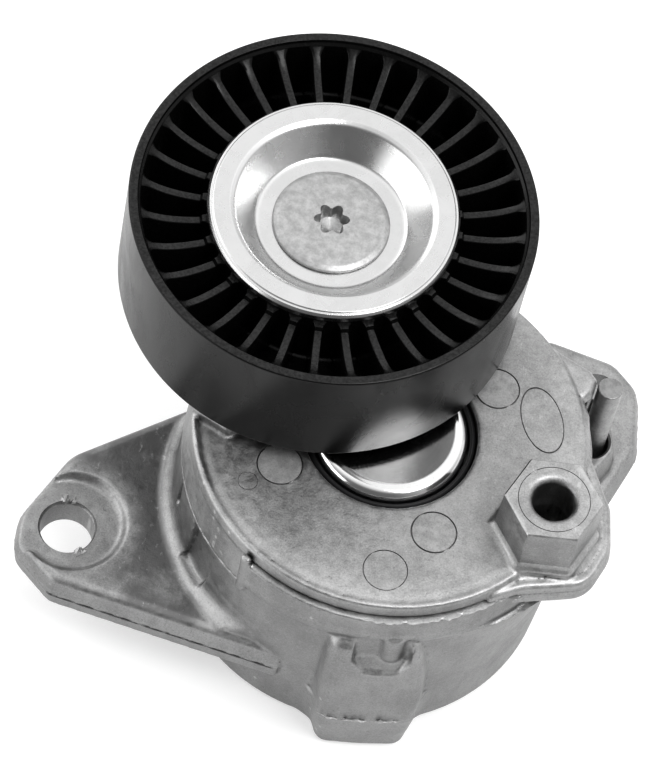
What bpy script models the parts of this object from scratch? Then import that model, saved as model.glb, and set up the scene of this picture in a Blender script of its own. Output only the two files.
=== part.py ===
"""Automatic belt tensioner with a smooth idler pulley, as an assembly of separate pieces.

A cast spring cup bolts to the engine by two ears. A steel shaft stands in the cup and carries a
cast swing arm on a polymer bushing. A coil spring in the cup turns the arm, a friction shoe damps
it, and a ball-bearing pulley is bolted to the arm's post. A lock pin in the cup's ear holds the arm
wound up for fitting.

Frame: origin on the arm's pivot axis at the cup's rear face, +Z towards the pulley's front face,
+X from the pivot towards the lock pin's side. Run it with: blender --background --python part.py
"""

import math

import bmesh
import bpy
from mathutils import Matrix, Vector

MM = 0.001  # every length below is in millimetres

# Driving dimensions
PULLEY_RADIUS = 38.0
PULLEY_WIDTH = 26.0
PULLEY_FRONT = 80.8
PULLEY_AXIS = (-19.6, 26.3)
RIM_WALL = 2.4
HUB_RADIUS = 22.6
RIB_COUNT = 32
RIB_THICKNESS = 1.1
BEARING_BORE = 8.5
BEARING_OUTER = 20.0
BEARING_WIDTH = 12.0
BALL_RADIUS = 3.37
BALL_PITCH_RADIUS = 14.25
BALL_COUNT = 8
CUP_BORE = 33.8
CUP_FLOOR = 5.0
CUP_TOP = 47.3
BAND_RADIUS = 38.8
BAND_BOTTOM = 39.9
WINDOW_FLOOR = 36.2
WINDOW_ANGLES = (68.0, 236.6)
EAR_REAR = 12.8
EAR_FRONT = 21.3
LEFT_HOLE = (-55.2, -19.1)
LEFT_HOLE_RADIUS = 5.2
RIGHT_HOLE = (38.4, 35.9)
RIGHT_HOLE_RADIUS = 4.4
ARM_RADIUS = 37.2
ARM_FACE = 50.95
ARM_UNDERSIDE = 47.7
ARM_HOLE_RADIUS = 16.5
SKIRT_ANGLES = (140.0, 233.4)
SKIRT_BOTTOM = 36.9
PLATFORM_TOP = 53.3
POST_TOP = 57.0
HEX_CENTRE = (31.8, -13.1)
HEX_ACROSS_FLATS = 16.0
HEX_TOP = 62.5
HEX_BORE_RADIUS = 3.9
HEX_BORE_FLOOR = 51.6
SHAFT_RADIUS = 8.0
SPRING_RADIUS = 25.5
SPRING_WIRE_RADIUS = 2.8
SPRING_TURNS = 4.55
SPRING_FIRST_COIL = 9.8
SPRING_LAST_COIL = 39.5
SPRING_BOSS_ANGLE = -78.5
PIN_RADIUS = 2.4
PIN_AXIS = (38.9, 21.4)
PIN_HOLE = (38.3, 20.8)
PIN_HOLE_RADIUS = 3.7
PIN_BOTTOM = 13.6
PIN_TOP = 48.3
PIN_BOSS_TOP = 28.8
GAP = 0.3  # running and seating clearance between neighbouring pieces

# Heights worked out from the dimensions above
PULLEY_REAR = PULLEY_FRONT - PULLEY_WIDTH
BEARING_REAR = 60.6
BEARING_FRONT = BEARING_REAR + BEARING_WIDTH
BEARING_MIDDLE = BEARING_REAR + BEARING_WIDTH / 2

PIVOT_AXIS = (0.0, 0.0)


def clear_scene():
    for obj in list(bpy.data.objects):
        bpy.data.objects.remove(obj, do_unlink=True)


def new_collection(name):
    collection = bpy.data.collections.new(name)
    bpy.context.scene.collection.children.link(collection)
    return collection


clear_scene()
PARTS = new_collection("belt_tensioner")
CUTTERS = new_collection("cutters")


def material(name, colour, roughness, metallic):
    made = bpy.data.materials.new(name)
    made.use_nodes = True
    shader = made.node_tree.nodes["Principled BSDF"]
    shader.inputs["Base Color"].default_value = (*colour, 1.0)
    shader.inputs["Roughness"].default_value = roughness
    shader.inputs["Metallic"].default_value = metallic
    return made


CAST = material("cast_aluminium", (0.56, 0.56, 0.57), 0.42, 1.0)
ARM_CAST = material("cast_aluminium_arm", (0.62, 0.62, 0.63), 0.38, 1.0)
BLACK_PLASTIC = material("glass_filled_plastic", (0.018, 0.018, 0.019), 0.38, 0.0)
ZINC = material("zinc_plated_steel", (0.72, 0.72, 0.72), 0.24, 1.0)
CHROME = material("bright_plated_steel", (0.80, 0.80, 0.80), 0.12, 1.0)
BOLT_STEEL = material("phosphated_steel", (0.42, 0.42, 0.43), 0.50, 1.0)
BEARING_STEEL = material("bearing_steel", (0.66, 0.66, 0.67), 0.18, 1.0)
SPRING_STEEL = material("spring_steel", (0.16, 0.16, 0.17), 0.45, 1.0)
PIN_STEEL = material("pin_steel", (0.50, 0.50, 0.50), 0.42, 1.0)
SHAFT_STEEL = material("ground_steel", (0.60, 0.60, 0.61), 0.25, 1.0)
RUBBER = material("seal_rubber", (0.012, 0.012, 0.013), 0.55, 0.0)
POLYMER = material("bushing_polymer", (0.11, 0.10, 0.09), 0.50, 0.0)
NATURAL_NYLON = material("natural_nylon", (0.70, 0.66, 0.56), 0.50, 0.0)


def polar(radius, degrees, centre=PIVOT_AXIS):
    angle = math.radians(degrees)
    return (centre[0] + radius * math.cos(angle), centre[1] + radius * math.sin(angle))


def arc(radius, start, end, centre=PIVOT_AXIS, step=6.0):
    """Points along a circle from start to end degrees."""
    count = max(1, round(abs(end - start) / step))
    return [polar(radius, start + (end - start) * i / count, centre) for i in range(count + 1)]


def rounded(corners, steps=4):
    """An outline from (x, y, radius) corners, each turned into a fillet of that radius."""
    outline = []
    for index, (x, y, radius) in enumerate(corners):
        here = Vector((x, y))
        before = Vector(corners[index - 1][:2]) - here
        after = Vector(corners[(index + 1) % len(corners)][:2]) - here
        if not radius:
            outline.append((x, y))
            continue
        before.normalize()
        after.normalize()
        half = before.angle(after) / 2
        centre = here + (before + after).normalized() * (radius / math.sin(half))
        first = here + before * (radius / math.tan(half)) - centre
        last = here + after * (radius / math.tan(half)) - centre
        turn = first.angle_signed(last)
        for step in range(steps + 1):
            point = centre + Matrix.Rotation(-turn * step / steps, 2) @ first
            outline.append((point.x, point.y))
    return outline


def link(obj, collection, skin=None):
    for old in obj.users_collection:
        old.objects.unlink(obj)
    collection.objects.link(obj)
    if skin:
        obj.data.materials.append(skin)
    if collection is CUTTERS:
        obj.hide_render = True
        obj.display_type = "WIRE"
    return obj


def mesh_object(name, bm, collection, skin=None):
    mesh = bpy.data.meshes.new(name)
    bm.to_mesh(mesh)
    bm.free()
    return link(bpy.data.objects.new(name, mesh), collection, skin)


def turned(name, profile, axis=PIVOT_AXIS, segments=48, collection=None, skin=None, closed=True):
    """A solid turned about a vertical axis. The (radius, height) profile runs down its outer side."""
    bm = bmesh.new()
    points = [bm.verts.new((radius * MM, 0.0, height * MM)) for radius, height in profile]
    pairs = list(zip(points, points[1:]))
    if closed:
        pairs.append((points[-1], points[0]))
    for pair in pairs:
        bm.edges.new(pair)
    obj = mesh_object(name, bm, collection or PARTS, skin)
    obj.location = (axis[0] * MM, axis[1] * MM, 0.0)
    screw = obj.modifiers.new("turn", "SCREW")
    screw.angle = math.tau
    screw.steps = segments
    screw.render_steps = segments
    screw.use_merge_vertices = True
    screw.merge_threshold = 0.00001
    return obj


def disc(name, radius, bottom, top, axis=PIVOT_AXIS, segments=48, collection=None, skin=None):
    """A plain round solid, as a turned piece."""
    profile = [(0.0, top), (radius, top), (radius, bottom), (0.0, bottom)]
    return turned(name, profile, axis, segments, collection, skin, closed=False)


def plate(name, outline, bottom, top, collection=None, skin=None):
    """A flat outline given a thickness, from a filled 2D curve made into a mesh."""
    curve = bpy.data.curves.new(name, "CURVE")
    curve.dimensions = "2D"
    curve.fill_mode = "BOTH"
    curve.extrude = (top - bottom) / 2 * MM
    spline = curve.splines.new("POLY")
    spline.points.add(len(outline) - 1)
    for point, (x, y) in zip(spline.points, outline):
        point.co = (x * MM, y * MM, 0.0, 1.0)
    spline.use_cyclic_u = True
    guide = bpy.data.objects.new(name + "_curve", curve)
    CUTTERS.objects.link(guide)
    guide.location = (0.0, 0.0, (top + bottom) / 2 * MM)
    bpy.context.view_layer.update()
    graph = bpy.context.evaluated_depsgraph_get()
    mesh = bpy.data.meshes.new_from_object(guide.evaluated_get(graph))
    obj = bpy.data.objects.new(name, mesh)
    obj.matrix_world = guide.matrix_world
    bpy.data.objects.remove(guide)
    bm = bmesh.new()
    bm.from_mesh(mesh)
    bmesh.ops.remove_doubles(bm, verts=bm.verts, dist=0.000001)
    bmesh.ops.recalc_face_normals(bm, faces=bm.faces)
    bm.to_mesh(mesh)
    bm.free()
    return link(obj, collection or CUTTERS, skin)


def block(name, centre, size, turn=0.0, collection=None):
    """A box of size (x, y, z) turned about Z by the given degrees."""
    bm = bmesh.new()
    bmesh.ops.create_cube(bm, size=1.0)
    bmesh.ops.scale(bm, vec=[side * MM for side in size], verts=bm.verts)
    obj = mesh_object(name, bm, collection or CUTTERS)
    obj.location = [place * MM for place in centre]
    obj.rotation_euler.z = math.radians(turn)
    return obj


def boolean(target, operation, tools):
    for tool in tools:
        modifier = target.modifiers.new(operation.lower(), "BOOLEAN")
        modifier.operation = operation
        modifier.solver = "EXACT"
        modifier.object = tool
    return target


def smooth(obj):
    obj.data.shade_smooth()
    return obj


def sector(name, inner, outer, angles, bottom, top, collection=None, step=6.0):
    """Part of a ring between two angles."""
    outline = arc(outer, angles[0], angles[1], step=step)
    outline += arc(inner, angles[1], angles[0], step=step)
    return plate(name, outline, bottom, top, collection)


# Spring cup and its shaft


def base_housing():
    """The cast cup with two bolt ears, the lock pin's boss and the spring end's boss."""
    cup = turned(
        "base_housing",
        [
            (38.3, CUP_TOP),
            (BAND_RADIUS, CUP_TOP - 0.5),
            (BAND_RADIUS, BAND_BOTTOM),
            (38.3, BAND_BOTTOM - 0.6),
            (38.2, 26.0),
            (36.3, 0.9),
            (35.4, 0.0),
            (30.0, 0.0),
            (29.4, 1.6),
            (16.6, 1.6),
            (16.0, 0.0),
            (11.4, 0.0),
            (11.4, 2.9),
            (SHAFT_RADIUS + GAP, 2.9),
            (SHAFT_RADIUS + GAP, 14.0),
            (12.0, 14.0),
            (12.6, CUP_FLOOR),
            (CUP_BORE, CUP_FLOOR),
            (CUP_BORE, CUP_TOP),
        ],
        segments=48,
        skin=CAST,
    )
    left_ear = plate(
        "left_ear",
        rounded(
            [
                (-20.0, 27.6, 0),
                (-58.6, -3.8, 9.0),
                (-64.9, -18.6, 9.0),
                (-64.2, -25.8, 5.0),
                (-55.6, -32.6, 4.0),
                (-10.0, -37.0, 0),
                (-6.0, 0.0, 0),
            ]
        ),
        EAR_REAR,
        EAR_FRONT,
    )
    right_ear = plate(
        "right_ear",
        rounded(
            [
                (6.0, 0.0, 0),
                (34.0, -9.0, 0),
                (44.2, 12.0, 6.0),
                (48.9, 26.0, 6.0),
                (47.0, 39.4, 6.0),
                (41.0, 44.6, 6.0),
                (27.0, 46.6, 5.0),
                (6.0, 36.0, 0),
            ]
        ),
        EAR_REAR,
        EAR_FRONT,
    )
    pin_boss = plate(
        "pin_boss",
        rounded([(30.0, 11.0, 0), (39.6, 12.2, 4.0), (43.9, 20.6, 5.0), (40.9, 27.0, 4.0), (28.0, 28.0, 0)]),
        EAR_REAR + 0.5,
        PIN_BOSS_TOP,
    )
    middle = polar(35.0, SPRING_BOSS_ANGLE)
    spring_boss = block("spring_boss", (*middle, 19.2), (12.0, 18.6, 38.0), SPRING_BOSS_ANGLE)
    bevel = spring_boss.modifiers.new("round", "BEVEL")
    bevel.width = 3.6 * MM
    bevel.segments = 2
    bevel.limit_method = "ANGLE"
    stop_rib = disc("stop_rib", 1.1, WINDOW_FLOOR - 0.4, CUP_TOP - 0.4, polar(38.3, -122.4), 12, CUTTERS)
    core = disc("cup_core", 35.7, -5.0, CUP_TOP + 20.0, segments=48, collection=CUTTERS)
    outside = [left_ear, right_ear, pin_boss, spring_boss]
    for piece in outside:
        boolean(piece, "DIFFERENCE", [core])
    boolean(cup, "UNION", outside + [stop_rib])

    window = sector("arm_window", 30.0, 46.0, WINDOW_ANGLES, WINDOW_FLOOR, CUP_TOP + 20.0)
    left_hole = disc("left_bolt_hole", LEFT_HOLE_RADIUS, 5.0, 40.0, LEFT_HOLE, 24, CUTTERS)
    left_face = disc("left_spot_face", 9.6, EAR_FRONT - 0.8, 40.0, (-54.6, -18.4), 24, CUTTERS)
    right_hole = disc("right_bolt_hole", RIGHT_HOLE_RADIUS, 5.0, 40.0, RIGHT_HOLE, 24, CUTTERS)
    pin_hole = disc("lock_pin_hole", PIN_HOLE_RADIUS, 5.0, 40.0, PIN_HOLE, 20, CUTTERS)
    tang_slot = block("tang_slot", (*polar(35.0, SPRING_BOSS_ANGLE), 9.9), (8.0, 8.0, 9.0), SPRING_BOSS_ANGLE)
    boss_notch = block("boss_notch", (*polar(43.2, SPRING_BOSS_ANGLE + 1.5), 33.5), (9.0, 10.4, 8.4), SPRING_BOSS_ANGLE)
    side_pocket = block("side_pocket", (*polar(41.5, -140.5), 29.8), (10.0, 13.0, 11.4), -140.5)
    boolean(cup, "DIFFERENCE", [window, left_hole, left_face, right_hole, pin_hole])
    boolean(cup, "DIFFERENCE", [tang_slot, boss_notch, side_pocket])
    return smooth(cup)


def pivot_shaft():
    """The headed shaft that the arm swings on, bored from the front and shouldered for the front plate."""
    profile = [
        (0.0, 24.0),
        (3.0, 24.0),
        (3.0, 48.6),
        (5.5, 48.6),
        (5.5, 45.9),
        (SHAFT_RADIUS, 45.9),
        (SHAFT_RADIUS, 2.6),
        (11.1, 2.6),
        (11.1, 0.4),
        (10.7, 0.0),
        (0.0, 0.0),
    ]
    return smooth(turned("pivot_shaft", profile, segments=28, skin=SHAFT_STEEL, closed=False))


def front_thrust_plate():
    profile = [(13.6, 48.0), (13.6, 46.2), (5.8, 46.2), (5.8, 48.0)]
    return smooth(turned("front_thrust_plate", profile, segments=32, skin=BOLT_STEEL))


def pivot_cap():
    """The pressed bright cap over the shaft's end: a flat top and a rounded shoulder."""
    outside = [(0.0, 51.8), (12.0, 51.8), (12.6, 51.6), (13.6, 50.6), (14.3, 50.2), (14.8, 49.6), (14.8, 48.5)]
    inside = [(14.0, 48.5), (14.0, 49.3), (12.2, 51.0), (0.0, 51.0)]
    return smooth(turned("pivot_cap", outside + inside, segments=40, skin=CHROME, closed=False))


def ring(name, inner, outer, bottom, top, skin, axis=PIVOT_AXIS, segments=28):
    """A plain washer or sleeve."""
    profile = [(outer, top), (outer, bottom), (inner, bottom), (inner, top)]
    return smooth(turned(name, profile, axis, segments, skin=skin))


def wire(name, points, radius, skin):
    curve = bpy.data.curves.new(name, "CURVE")
    curve.dimensions = "3D"
    curve.bevel_depth = radius * MM
    curve.bevel_resolution = 2
    curve.use_fill_caps = True
    spline = curve.splines.new("POLY")
    spline.points.add(len(points) - 1)
    for target, point in zip(spline.points, points):
        target.co = (*[value * MM for value in point], 1.0)
    return link(bpy.data.objects.new(name, curve), PARTS, skin)


def torsion_spring():
    """A round-wire coil whose ends turn outwards: one into the cup's boss, one into the arm's skirt."""
    per_turn = 15
    steps = round(SPRING_TURNS * per_turn)
    first = SPRING_BOSS_ANGLE + 14.0
    points = [
        (*polar(36.2, SPRING_BOSS_ANGLE), SPRING_FIRST_COIL),
        (*polar(31.0, SPRING_BOSS_ANGLE + 1.0), SPRING_FIRST_COIL),
        (*polar(27.6, SPRING_BOSS_ANGLE + 4.5), SPRING_FIRST_COIL),
    ]
    for step in range(steps + 1):
        share = step / steps
        climb = min(max((share * SPRING_TURNS - 0.3) / (SPRING_TURNS - 0.6), 0.0), 1.0)
        height = SPRING_FIRST_COIL + climb * (SPRING_LAST_COIL - SPRING_FIRST_COIL)
        points.append((*polar(SPRING_RADIUS, first + share * SPRING_TURNS * 360.0), height))
    last = first + SPRING_TURNS * 360.0
    points += [
        (*polar(27.0, last + 9.0), SPRING_LAST_COIL),
        (*polar(30.2, last + 12.5), SPRING_LAST_COIL),
        (*polar(34.6, last + 13.5), SPRING_LAST_COIL),
    ]
    return wire("torsion_spring", points, SPRING_WIRE_RADIUS, SPRING_STEEL)


# Swing arm and what rides on it


def hexagon(centre, across_flats, turn):
    radius = across_flats / 2 / math.cos(math.pi / 6)
    return [polar(radius, turn + 60.0 * side, centre) for side in range(6)]


def tensioner_arm():
    """The cast arm: a disc over the cup, its hub, skirt, spanner hexagon, lock lug and pulley post."""
    arm = turned(
        "tensioner_arm",
        [
            (ARM_HOLE_RADIUS, ARM_FACE),
            (33.4, ARM_FACE - 0.1),
            (35.8, 50.2),
            (ARM_RADIUS, 48.4),
            (ARM_RADIUS - 0.4, ARM_UNDERSIDE),
            (20.4, ARM_UNDERSIDE),
            (20.4, 44.0),
            (19.4, 42.9),
            (12.2, 42.2),
            (12.2, 15.6),
            (9.9, 15.6),
            (9.9, 44.9),
            (ARM_HOLE_RADIUS, 44.9),
        ],
        segments=54,
        skin=ARM_CAST,
    )
    skirt = sector("arm_skirt", 34.3, ARM_RADIUS - 0.1, SKIRT_ANGLES, SKIRT_BOTTOM, 49.2)
    lobe = plate(
        "hex_lobe",
        rounded(
            [
                (30.0, 6.0, 0),
                (37.6, 6.0, 0),
                (42.6, -4.0, 5.0),
                (45.2, -14.6, 6.0),
                (41.0, -22.4, 7.0),
                (24.0, -29.0, 0),
                (20.0, -16.0, 0),
            ]
        ),
        43.4,
        50.5,
    )
    lug = plate(
        "lock_lug",
        [(26.0, 26.8), (29.6, 25.2), (34.2, 23.2), (35.7, 21.4), (35.2, 18.2), (34.2, 16.8), (26.0, 16.0)],
        44.6,
        49.4,
    )
    band_room = turned(
        "band_clearance",
        [(0.0, 48.0), (BAND_RADIUS + 0.6, 48.0), (BAND_RADIUS + 0.6, 30.0), (0.0, 30.0)],
        segments=54,
        collection=CUTTERS,
        closed=False,
    )
    boolean(lobe, "DIFFERENCE", [band_room])
    boolean(lug, "DIFFERENCE", [band_room])
    platform = plate(
        "post_platform",
        rounded([(-36.2, -7.6, 0), (-28.7, -10.4, 0), (-16.0, -8.8, 0)], 1)
        + arc(18.0, 210.0, 78.0)
        + [(6.5, 33.0), (-2.0, 36.8)]
        + arc(13.4, 40.0, 190.0, PULLEY_AXIS, 12.0)
        + arc(36.6, 152.0, 184.0),
        47.9,
        PLATFORM_TOP,
    )
    post = turned(
        "pulley_post",
        [(0.0, POST_TOP), (10.0, POST_TOP), (10.6, 52.0), (10.6, 44.8), (0.0, 44.8)],
        PULLEY_AXIS,
        28,
        collection=CUTTERS,
        closed=False,
    )
    hexagon_boss = plate("spanner_hexagon", hexagon(HEX_CENTRE, HEX_ACROSS_FLATS, 8.0), 47.9, HEX_TOP)
    boolean(arm, "UNION", [skirt, lobe, lug, platform, post, hexagon_boss])

    bolt_bore = disc("bolt_bore", 5.1, 40.0, 70.0, PULLEY_AXIS, 24, CUTTERS)
    hex_bore = turned(
        "hex_bore",
        [
            (0.0, 70.0),
            (5.0, 70.0),
            (5.0, HEX_TOP),
            (HEX_BORE_RADIUS, HEX_TOP - 1.4),
            (HEX_BORE_RADIUS, HEX_BORE_FLOOR),
            (0.0, HEX_BORE_FLOOR),
        ],
        HEX_CENTRE,
        20,
        CUTTERS,
        closed=False,
    )
    spring_angle = SPRING_BOSS_ANGLE + 14.0 + SPRING_TURNS * 360.0 + 13.5
    tang_notch = block(
        "skirt_tang_notch", (*polar(33.6, spring_angle), SPRING_LAST_COIL), (3.6, 7.0, 7.0), spring_angle
    )
    boolean(arm, "DIFFERENCE", [bolt_bore, hex_bore, tang_notch])
    return smooth(arm)


def damping_shoe():
    """A C-shaped friction lining under the arm that rubs on the cup's bore."""
    outline = arc(33.3, -100.0, 120.0, step=8.0) + arc(30.2, 120.0, -100.0, step=8.0)
    return plate("damping_shoe", outline, 37.8, 44.0, PARTS, POLYMER)


def seal_ring():
    profile = [(15.6, 50.2), (16.2, 49.6), (16.2, 45.3), (15.3, 45.3), (15.1, 49.8)]
    return smooth(turned("seal_ring", profile, segments=36, skin=RUBBER))


def rear_dust_shield():
    """A thin dished disc behind the pulley's hub."""
    profile = [(18.0, 58.0), (22.0, 57.4), (22.0, 56.8), (18.0, 57.3), (5.4, 57.3), (5.4, 58.0)]
    return smooth(turned("rear_dust_shield", profile, PULLEY_AXIS, 32, skin=ZINC))


def pulley_spacer():
    """The flanged sleeve that centres the bearing's bore on the bolt."""
    profile = [
        (8.2, 72.3),
        (8.2, BEARING_REAR - GAP),
        (11.4, BEARING_REAR - GAP),
        (11.4, 58.3),
        (5.4, 58.3),
        (5.4, 72.3),
    ]
    return smooth(turned("pulley_spacer", profile, PULLEY_AXIS, 24, skin=SHAFT_STEEL))


def front_dust_cover():
    """The dished pressing under the bolt's head, with a flat rim turned down at its edge."""
    front = [(18.4, 79.9), (22.6, 79.9), (23.4, 79.2), (23.4, 78.2)]
    back = [(22.6, 78.2), (22.4, 79.0), (18.9, 79.0), (15.2, 72.9), (5.4, 72.9), (5.4, 73.9), (14.6, 73.9)]
    return smooth(turned("front_dust_cover", front + back, PULLEY_AXIS, 40, skin=ZINC))


def pulley_bolt():
    """A flat-headed bolt with a six-lobed drive recess."""
    head = [(0.0, 75.7), (10.4, 75.7), (11.0, 75.1), (11.0, 74.2), (4.9, 74.2)]
    shank = [(4.9, 45.0), (0.0, 45.0)]
    bolt = turned("pulley_bolt", head + shank, PULLEY_AXIS, 32, skin=BOLT_STEEL, closed=False)
    lobes = []
    for step in range(36):
        angle = 10.0 * step
        lobes.append(polar(2.85 + 0.42 * math.cos(math.radians(6 * angle)), angle + 12.0, PULLEY_AXIS))
    return smooth(boolean(bolt, "DIFFERENCE", [plate("drive_recess", lobes, 71.6, 78.0)]))


# Bearing and pulley


def groove(radius, outwards, steps=4):
    """Half of a ball's track, from front to rear, on the ring inside or outside the balls."""
    sign = 1.0 if outwards else -1.0
    edge = abs(radius - BALL_PITCH_RADIUS)
    track = BALL_RADIUS + GAP
    half = math.acos(edge / track)
    points = []
    for step in range(steps + 1):
        angle = half - 2 * half * step / steps
        points.append((BALL_PITCH_RADIUS + sign * track * math.cos(angle), BEARING_MIDDLE + track * math.sin(angle)))
    return points


def bearing_inner_ring():
    profile = [(11.9, BEARING_FRONT)] + groove(11.9, False) + [(11.9, BEARING_REAR)]
    profile += [(BEARING_BORE, BEARING_REAR), (BEARING_BORE, BEARING_FRONT)]
    return smooth(turned("bearing_inner_ring", profile, PULLEY_AXIS, 28, skin=BEARING_STEEL))


def bearing_outer_ring():
    profile = [(BEARING_OUTER, BEARING_FRONT), (BEARING_OUTER, BEARING_REAR), (16.6, BEARING_REAR)]
    profile += list(reversed(groove(16.6, True))) + [(16.6, BEARING_FRONT)]
    return smooth(turned("bearing_outer_ring", profile, PULLEY_AXIS, 32, skin=BEARING_STEEL))


def ball_cage():
    """A polymer ring between the bearing's rings with a round pocket for each ball."""
    cage = turned(
        "ball_cage",
        [(15.3, 71.0), (15.3, 62.2), (13.2, 62.2), (13.2, 71.0)],
        PULLEY_AXIS,
        24,
        skin=POLYMER,
    )
    pockets = bmesh.new()
    for ball in range(BALL_COUNT):
        place = polar(BALL_PITCH_RADIUS, 360.0 / BALL_COUNT * ball, PULLEY_AXIS)
        made = bmesh.ops.create_uvsphere(pockets, u_segments=8, v_segments=6, radius=(BALL_RADIUS + GAP) * MM)
        bmesh.ops.translate(pockets, verts=made["verts"], vec=(place[0] * MM, place[1] * MM, BEARING_MIDDLE * MM))
    return smooth(boolean(cage, "DIFFERENCE", [mesh_object("ball_pockets", pockets, CUTTERS)]))


def balls():
    for ball in range(BALL_COUNT):
        bm = bmesh.new()
        bmesh.ops.create_uvsphere(bm, u_segments=10, v_segments=6, radius=BALL_RADIUS * MM)
        obj = mesh_object("ball_%d" % (ball + 1), bm, PARTS, BEARING_STEEL)
        place = polar(BALL_PITCH_RADIUS, 360.0 / BALL_COUNT * ball, PULLEY_AXIS)
        obj.location = (place[0] * MM, place[1] * MM, BEARING_MIDDLE * MM)
        smooth(obj)


def bearing_seal(name, middle):
    return ring(name, 12.2, 16.3, middle - 0.4, middle + 0.4, RUBBER, PULLEY_AXIS)


def pulley():
    """A smooth plastic rim and hub joined by a web and a ring of thin ribs."""
    rim_inner = PULLEY_RADIUS - RIM_WALL
    web_front = 67.4
    web_rear = 64.6
    hub_front = 77.6
    hub_rear = 58.6
    lip = BEARING_OUTER - 1.2
    body = turned(
        "pulley",
        [
            (PULLEY_RADIUS - 0.5, PULLEY_FRONT),
            (PULLEY_RADIUS, PULLEY_FRONT - 0.5),
            (PULLEY_RADIUS, PULLEY_REAR + 0.5),
            (PULLEY_RADIUS - 0.5, PULLEY_REAR),
            (rim_inner, PULLEY_REAR),
            (rim_inner, web_rear),
            (HUB_RADIUS, web_rear),
            (HUB_RADIUS, hub_rear),
            (lip, hub_rear),
            (lip, BEARING_REAR - GAP),
            (BEARING_OUTER + GAP, BEARING_REAR - GAP),
            (BEARING_OUTER + GAP, BEARING_FRONT + GAP),
            (lip, BEARING_FRONT + GAP),
            (lip, 74.6),
            (lip + 1.4, hub_front),
            (HUB_RADIUS, hub_front),
            (HUB_RADIUS, web_front),
            (rim_inner, web_front),
            (rim_inner, PULLEY_FRONT),
        ],
        PULLEY_AXIS,
        48,
        skin=BLACK_PLASTIC,
    )
    inner = HUB_RADIUS - 0.8
    outer = rim_inner + 0.8
    ribs = bmesh.new()
    for rib in range(RIB_COUNT):
        turn = Matrix.Rotation(math.tau * (rib + 0.5) / RIB_COUNT, 4, "Z")
        made = bmesh.ops.create_cube(ribs, size=1.0)["verts"]
        length = outer - inner
        bmesh.ops.scale(ribs, vec=(length * MM, RIB_THICKNESS * MM, 1.0), verts=made)
        for corner in made:
            at_rim = corner.co.x > 0
            front = 78.9 if at_rim else 77.0
            rear = 56.4 if at_rim else 59.2
            corner.co.z = (front if corner.co.z > 0 else rear) * MM
            corner.co.x += (inner + outer) / 2 * MM
        bmesh.ops.transform(ribs, matrix=turn, verts=made)
    rib_set = mesh_object("pulley_ribs", ribs, CUTTERS)
    rib_set.location = (PULLEY_AXIS[0] * MM, PULLEY_AXIS[1] * MM, 0.0)
    return smooth(boolean(body, "UNION", [rib_set]))


def lock_pin():
    """A plain steel pin standing loose in its clearance hole."""
    pin = disc("lock_pin", PIN_RADIUS, PIN_BOTTOM, PIN_TOP, PIN_AXIS, 20, skin=PIN_STEEL)
    bevel = pin.modifiers.new("edge", "BEVEL")
    bevel.width = 0.25 * MM
    bevel.segments = 1
    return smooth(pin)


base_housing()
pivot_shaft()
front_thrust_plate()
pivot_cap()
ring("rear_thrust_washer", SHAFT_RADIUS + GAP, 12.0, 14.3, 15.3, NATURAL_NYLON)
ring("spring_seat", 21.4, 29.8, CUP_FLOOR + GAP, 6.6, NATURAL_NYLON)
torsion_spring()

tensioner_arm()
ring("pivot_bushing", SHAFT_RADIUS + GAP, 9.6, 15.7, 44.6, POLYMER)
ring("front_thrust_washer", SHAFT_RADIUS + GAP, 13.4, 45.2, 45.9, NATURAL_NYLON)
seal_ring()
damping_shoe()
rear_dust_shield()
pulley_spacer()
bearing_inner_ring()
front_dust_cover()
pulley_bolt()

pulley()
bearing_outer_ring()
bearing_seal("bearing_seal_front", BEARING_FRONT - 0.7)
bearing_seal("bearing_seal_rear", BEARING_REAR + 0.7)
ball_cage()
balls()
lock_pin()
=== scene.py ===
"""Looks for the belt tensioner idler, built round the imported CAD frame.

Shapes are made in millimetres in the row frame and scaled to metres when each piece is finished.
"""

import math

import bmesh
import bpy
from mathutils import Matrix, Vector

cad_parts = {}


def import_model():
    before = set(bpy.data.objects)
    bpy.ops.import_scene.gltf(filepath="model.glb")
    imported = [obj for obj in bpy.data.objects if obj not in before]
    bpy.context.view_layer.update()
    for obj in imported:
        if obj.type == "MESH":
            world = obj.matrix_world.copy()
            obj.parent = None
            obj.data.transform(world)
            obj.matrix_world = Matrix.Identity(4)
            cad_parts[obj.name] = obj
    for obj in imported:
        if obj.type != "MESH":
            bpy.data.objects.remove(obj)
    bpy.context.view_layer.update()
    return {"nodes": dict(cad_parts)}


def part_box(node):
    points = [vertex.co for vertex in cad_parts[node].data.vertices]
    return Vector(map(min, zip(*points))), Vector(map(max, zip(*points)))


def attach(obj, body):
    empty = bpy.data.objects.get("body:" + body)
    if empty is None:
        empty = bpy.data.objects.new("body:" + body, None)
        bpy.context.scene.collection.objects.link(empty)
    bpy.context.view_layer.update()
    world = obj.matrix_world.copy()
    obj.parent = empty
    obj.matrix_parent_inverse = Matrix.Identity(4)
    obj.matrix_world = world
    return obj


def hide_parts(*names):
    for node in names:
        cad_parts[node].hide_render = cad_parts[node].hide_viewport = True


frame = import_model()
SCENE = bpy.context.scene
MM = 0.001
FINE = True


def node_box(node):
    """A CAD node's lowest and highest corners in millimetres."""
    low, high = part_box(node)
    return low / MM, high / MM


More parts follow.
